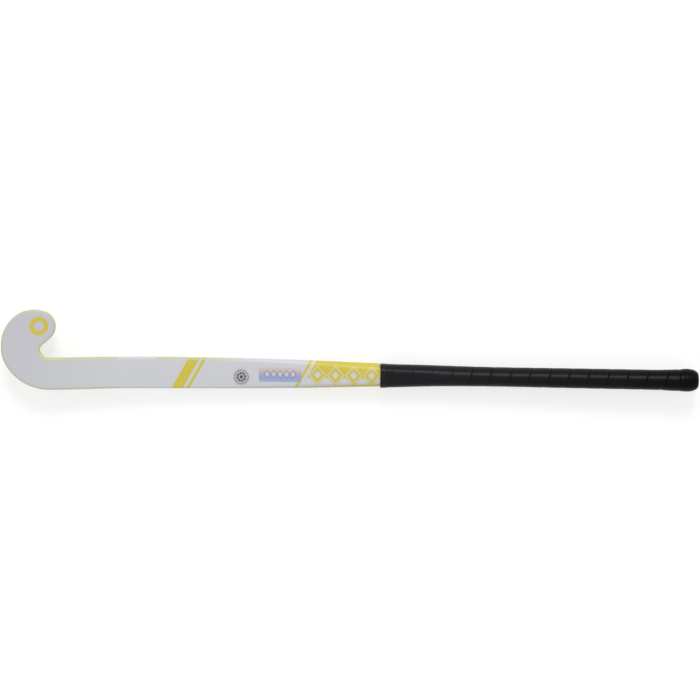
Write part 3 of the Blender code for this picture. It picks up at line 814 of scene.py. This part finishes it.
# %% Shape the bare end of the cap
BUTT_END_X = 463.43 * MM
CAP_WIDEST_X = 445.9 * MM
CAP_FLOOR_X = 457.5 * MM  # beyond it every face is part of the dome
CAP_HALF = 14.13 * MM
CAP_FLAT_HALF = 6.0 * MM  # the flat at its end
CAP_FULLNESS = 2.3  # 2 is a round dome, and more is a squarer one
RINGS_SLIDE = 3.5 * MM
SLIDE_STARTS = 0.16  # the slide grows to its full length over this share of the bare cap
SLIDE_ENDS = 0.36  # and fades over this share at its end
CAP_FLARE = 0.1
CAP_WIDER = 0.068
CAP_TOE_SHIFT = 0.25 * MM


def cap_half(x):
    """Half width of the dome of the cap, x metres along the stick."""
    share = (x - CAP_WIDEST_X) / (BUTT_END_X - CAP_WIDEST_X)
    share = min(max(share, 0), 1)
    dome = (1 - share ** CAP_FULLNESS) ** (1 / CAP_FULLNESS)
    return CAP_FLAT_HALF + (CAP_HALF - CAP_FLAT_HALF) * dome


def on_cap_outside(face):
    """Whether a face is on the outside of the cap, its end included."""
    return looks_out(face) or face.calc_center_median().x > CAP_FLOOR_X


def shape_cap(piece):
    """Slides the rings towards the end of the cap, and lets its sides bulge."""
    mesh = bmesh.new()
    mesh.from_mesh(piece.data)
    outside = [point for point in mesh.verts if any(map(on_cap_outside, point.link_faces))]
    bare = [point for point in outside if GRIP_END_X < point.co.x < BUTT_END_X]
    for point in bare:
        share = (point.co.x - GRIP_END_X) / (BUTT_END_X - GRIP_END_X)
        slide = RINGS_SLIDE * min(share / SLIDE_STARTS, (1 - share) / SLIDE_ENDS, 1)
        flare = min(share / CAP_FLARE, 1)
        place = middle_line(point.co.x + slide)
        offset = point.co - middle_line(point.co.x)
        offset *= cap_half(place.x) / cap_half(point.co.x)
        place.y += offset.y * (1 + CAP_WIDER * flare) + CAP_TOE_SHIFT * flare
        place.z += offset.z
        point.co = place
    mesh.to_mesh(piece.data)
    mesh.free()
    print("moved", len(bare), "points of the rings")


# %% [markdown]
# The cap is then made as the grip was. Its rings are grooves between rounded ribs, so its edges
# have only a light crease, and two levels of subdivision turn the ribs round. The ring of edges
# where the tape ends is creased more.

# %% The ringed cap
cap = merged_copy("butt_cap", "ringed_cap", crease_angle=math.radians(60), crease=0.35)
shape_cap(cap)
edit_chosen(cap, "EDGE", at_grip_end, bpy.ops.transform.edge_crease, END_RING_CREASE)
subdivide(cap, levels=2)
finished(cap, "butt_cap", cap_black, SMOOTH_ROUND)

# %% [markdown]
# A narrow elastic band of black vinyl is stretched over the lower end of the tape, so that it
# doesn't roll up. It could be a darker stretch of the tape's finish, but it is a piece that comes
# off, so it has a skin of its own. It is a little shinier than the tape, with faint ripples from
# the stretching.

# %% The finishing band
vinyl = Finish("band_vinyl_black")
ripple = vinyl.noise(3 * MM)
band_black = vinyl.surface({
    "Base Color": vinyl.mix(ripple, colour(22, 22, 24), colour(28, 29, 30)),
    "Roughness": ripple * 0.1 + 0.32,
    "Specular IOR Level": 0.12,
    "Normal": vinyl.bump(ripple, 0.06 * MM, 0.3),
})
band = merged_copy("finishing_band", "end_band", crease_angle=math.radians(60), crease=0.6)
subdivide(band, levels=2)
finished(band, "finishing_band", band_black, SMOOTH_SHELL)

# %% [markdown]
# The stickers are thin plates that follow the bow, and they keep their CAD shape. The round one
# is printed paper: a spot, two rings joined by spokes, and a wreath of ticks. Rings are bands of
# the distance from the middle, and ticks are the positive half of a sine of the angle.

# %% The round sticker's paper
ROUND_X = -144.3
ROUND_Y = -4.0
TICKS = 26
TICK_RADII = (8.0, 9.9)
SPOKES = 8
SPOKE_RADII = (4.6, 5.7)
OUTER_RING_RADII = (5.6, 6.6)
INNER_RING_RADII = (3.6, 4.7)
SPOT_RADIUS = 2.4
INK_FADE = (-8, 8)

stamp = Finish("round_sticker_paper")
stamp_x = stamp.x / MM - ROUND_X
stamp_y = (stamp.y - SHAFT_Y) / MM - ROUND_Y
stamp_radius = (stamp_x * stamp_x + stamp_y * stamp_y).math("SQRT")
angle = stamp_y.math("ARCTAN2", stamp_x)
ticks = (angle * TICKS).math("SINE").above(0.0, 0.5)
ticks = ticks * stamp_radius.between(*TICK_RADII, PRINT_SOFT)
spokes = (angle * SPOKES).math("SINE").above(0.1, 0.3)
spokes = spokes * stamp_radius.between(*SPOKE_RADII, PRINT_SOFT)
outer_ring = stamp_radius.between(*OUTER_RING_RADII, PRINT_SOFT)
inner_ring = stamp_radius.between(*INNER_RING_RADII, PRINT_SOFT)
spot = stamp_radius.below(SPOT_RADIUS, PRINT_SOFT)
inked = ticks.either(spokes, outer_ring, inner_ring, spot)
fibre = stamp.noise(0.8 * MM, 3)
bare_paper = stamp.mix(fibre * 0.4, colour(196, 196, 199), colour(184, 184, 184))
ink = stamp.mix(stamp_y.ramp(*INK_FADE), colour(62, 63, 62), colour(84, 64, 69))
stamp_paper = stamp.surface({
    "Base Color": stamp.mix(inked * 0.95, bare_paper, ink),
    "Roughness": fibre * 0.1 + 0.45,
    "Specular IOR Level": 0.3,
    "Normal": stamp.bump(fibre, 0.03 * MM, 0.2),
})

# %% [markdown]
# The other sticker is iridescent foil. A real one splits the light in a thin film, so its colour
# shifts with the angle. From one side it reads as a soft run from warm grey through lavender to
# blue, and a colour ramp across the sticker gives that run in every view. A row of small pale
# lozenges is printed on it.

# %% The foil sticker's sheen
FOIL_X = -92.7
FOIL_Y = -0.7
FOIL_STOPS = (
    (0.0, colour(204, 190, 182)),
    (0.3, colour(182, 172, 190)),
    (0.6, colour(158, 162, 198)),
    (0.85, colour(150, 160, 206)),
    (1.0, colour(148, 172, 206)),
)
FOIL_PALE = colour(206, 214, 218)
FOIL_GREY = colour(92, 84, 112)
GEM_STEP = 8.6
GEM_HALF_LONG = 3.3
GEM_HALF_TALL = 4.6
GEM_Y = 0.8
GEM_LINE = (1.0, 1.3)
GEM_SOFT = 0.1
GEM_ROW_END = 2.5 * GEM_STEP

foil = Finish("foil_sticker_sheen")
foil_x = foil.x / MM - FOIL_X
foil_y = (foil.y - SHAFT_Y) / MM - FOIL_Y
drift = foil.noise(16 * MM)
shift = foil_y / -13 + 0.36 + drift * 0.28
sheen = foil.node("ShaderNodeValToRGB", {0: shift}, stops=FOIL_STOPS)
gem_step = (foil_x / GEM_STEP + 0.5).math("FRACT") - 0.5
gem_x = gem_step.math("ABSOLUTE") * (GEM_STEP / GEM_HALF_LONG)
gem_reach = gem_x + (foil_y - GEM_Y).math("ABSOLUTE") / GEM_HALF_TALL
gem_row = foil_x.between(-GEM_ROW_END, GEM_ROW_END, GEM_SOFT)
gems = gem_reach.below(GEM_LINE[0], GEM_SOFT) * gem_row
gem_lines = gem_reach.between(*GEM_LINE, GEM_SOFT) * gem_row
crinkle = foil.noise(2.2 * MM)
foil_print = foil.mix(gems * 0.6, sheen, FOIL_PALE)
foil_sheen = foil.surface({
    "Base Color": foil.mix(gem_lines * 0.7, foil_print, FOIL_GREY),
    "Metallic": 0.25,
    "Roughness": crinkle * 0.1 + 0.28,
    "Normal": foil.bump(crinkle, 0.03 * MM, 0.25),
})

# %% [markdown]
# Nobody sees the inside of a stick, but it is there, and a model that is taken apart shows it.
# The head and the ends of the handle are filled with rigid foam, whose cut face shows its cells.
# The two tubes are bare carbon and glass laminate with a plain weave, and the plug is moulded
# nylon with faint flow marks.

# %% Finishes of the inner pieces
foam = Finish("rigid_foam_cells")
foam_tint = foam.noise(9 * MM, 3)
foam_body = foam.surface({
    "Base Color": foam.mix(foam_tint, colour(222, 208, 176), colour(205, 188, 150)),
    "Roughness": foam_tint * 0.1 + 0.8,
    "Normal": foam.bump(foam.cells(0.7 * MM), 0.2 * MM, 0.5),
})

WEAVE_WIDTH = 2.0  # half a wave of the sine, so each thread is this wide

weave = Finish("bare_laminate_weave")
warp = (weave.x / MM * (math.pi / WEAVE_WIDTH)).math("SINE")
weft = ((weave.y + weave.z) / MM * (math.pi / WEAVE_WIDTH)).math("SINE")
over = (warp * weft).above(0, 0.4)
bare_laminate = weave.surface({
    "Base Color": weave.mix(over, colour(38, 38, 41), colour(56, 57, 60)),
    "Roughness": over * 0.15 + 0.4,
    "Normal": weave.bump(over, 0.05 * MM, 0.4),
})

nylon = Finish("plug_nylon_black")
flow = nylon.noise(6 * MM, 3)
plug_body = nylon.surface({
    "Base Color": nylon.mix(flow, colour(46, 46, 47), colour(60, 60, 61)),
    "Roughness": flow * 0.15 + 0.5,
    "Normal": nylon.bump(flow, 0.05 * MM, 0.3),
})

# %% [markdown]
# The stickers and the inner pieces keep their CAD shape, so their finish goes straight into the
# material slot of the CAD node.

# %% Finish the pieces that keep their CAD shape
KEPT = {
    "round_sticker": stamp_paper,
    "foil_sticker": foil_sheen,
    "head_core": foam_body,
    "handle_foam_toe_side": foam_body,
    "handle_foam_heel_side": foam_body,
    "inner_tube_toe_side": bare_laminate,
    "inner_tube_heel_side": bare_laminate,
    "end_plug": plug_body,
}
for node, material in KEPT.items():
    kept = frame["nodes"][node]
    kept.data.materials.clear()
    kept.data.materials.append(material)
    print(node, "keeps its CAD shape and is finished with", material.name)

# %% [markdown]
# The visual model has to stay inside the CAD model's box.
